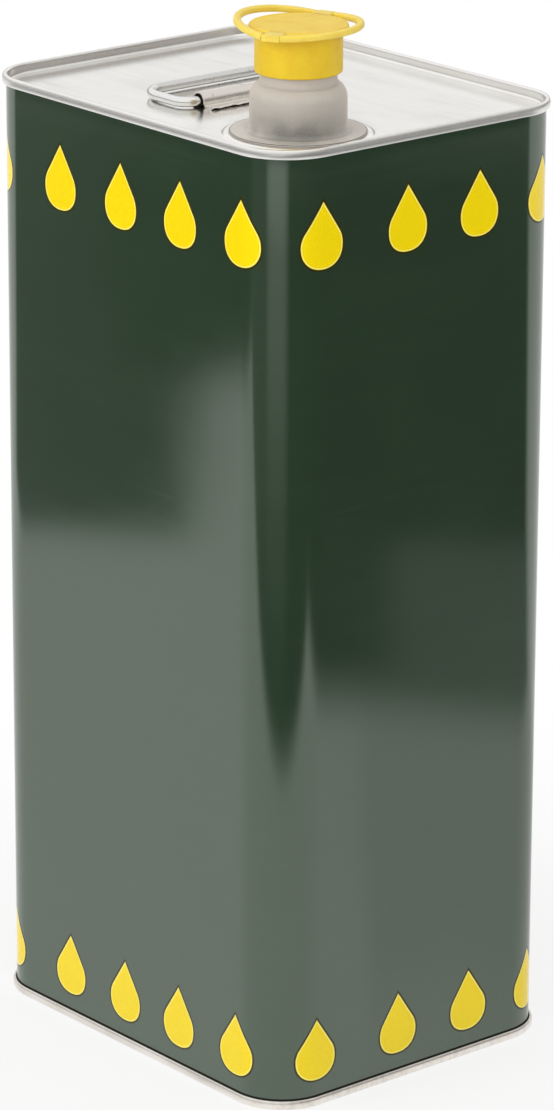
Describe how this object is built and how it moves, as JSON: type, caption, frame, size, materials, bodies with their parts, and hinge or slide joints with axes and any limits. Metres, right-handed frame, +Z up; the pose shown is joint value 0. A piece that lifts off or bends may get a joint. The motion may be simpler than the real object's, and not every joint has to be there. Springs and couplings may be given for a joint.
{
  "type": "olive oil tin with spout",
  "caption": "Tall rectangular lacquered tin with rounded corners, a folding wire handle on the lid and a push-in plastic pouring spout with a screw cap and lifting rings.",
  "frame": {"origin": "middle of the base, on the plane that the bottom seam stands on", "axes": "+Z up, +X along the wide faces towards the spout, -Y towards the wide face nearest the spout"},
  "size_m": [0.1486, 0.1206, 0.3454],
  "materials": {
    "lacquered_tinplate": "glossy dark green lacquer with printed yellow drops",
    "bright_tinplate": "bright tinplate",
    "seam_compound": "dull",
    "strap_steel": "bright tinplate",
    "handle_steel": "bright zinc-plated wire",
    "spout_plastic": "natural translucent plastic",
    "liner_foam": "foam",
    "cap_plastic": "satin yellow plastic"
  },
  "bodies": {
    "tin": {"body_shell": "lacquered_tinplate", "top_end": "bright_tinplate", "bottom_end": "bright_tinplate", "top_seam_compound": "seam_compound", "bottom_seam_compound": "seam_compound", "handle_strap": "strap_steel", "spout_flange": "spout_plastic", "spout_skirt": "spout_plastic"},
    "handle": {"handle_wire": "handle_steel"},
    "spout": {"spout_neck": "spout_plastic"},
    "seal": {"cap_liner": "liner_foam"},
    "cap": {"cap_shell": "cap_plastic"},
    "left_bail": {"bail_left": "cap_plastic"},
    "right_bail": {"bail_right": "cap_plastic"}
  },
  "joints": [
    {"name": "handle_swing", "type": "hinge", "parent": "tin", "child": "handle", "pos_m": [-0.002, -0.0067, 0.3105], "axis": [0, 1, 0], "range_deg": [0, 175]},
    {"name": "spout_push", "type": "slide", "parent": "tin", "child": "spout", "axis": [0, 0, 1], "range_m": [-0.03, 0], "deforming": ["spout_skirt"]},
    {"name": "cap_lift", "type": "slide", "parent": "spout", "child": "seal", "axis": [0, 0, 1], "range_m": [0, 0.0126]},
    {"name": "cap_turn", "type": "hinge", "parent": "seal", "child": "cap", "pos_m": [0.044, -0.027, 0.34004], "axis": [0, 0, 1], "range_deg": [0, 1080]},
    {"name": "left_bail_fold", "type": "hinge", "parent": "cap", "child": "left_bail", "pos_m": [0.04112, -0.02828, 0.34284], "axis": [-0.4067, 0.9135, 0], "range_deg": [-9, 81]},
    {"name": "right_bail_fold", "type": "hinge", "parent": "cap", "child": "right_bail", "pos_m": [0.04688, -0.02572, 0.34284], "axis": [0.4067, -0.9135, 0], "range_deg": [-3.5, 86.5]}
  ],
  "couplings": [
    {"joint": "cap_lift", "follows": "cap_turn", "m_per_rad": 0.00066845}
  ]
}
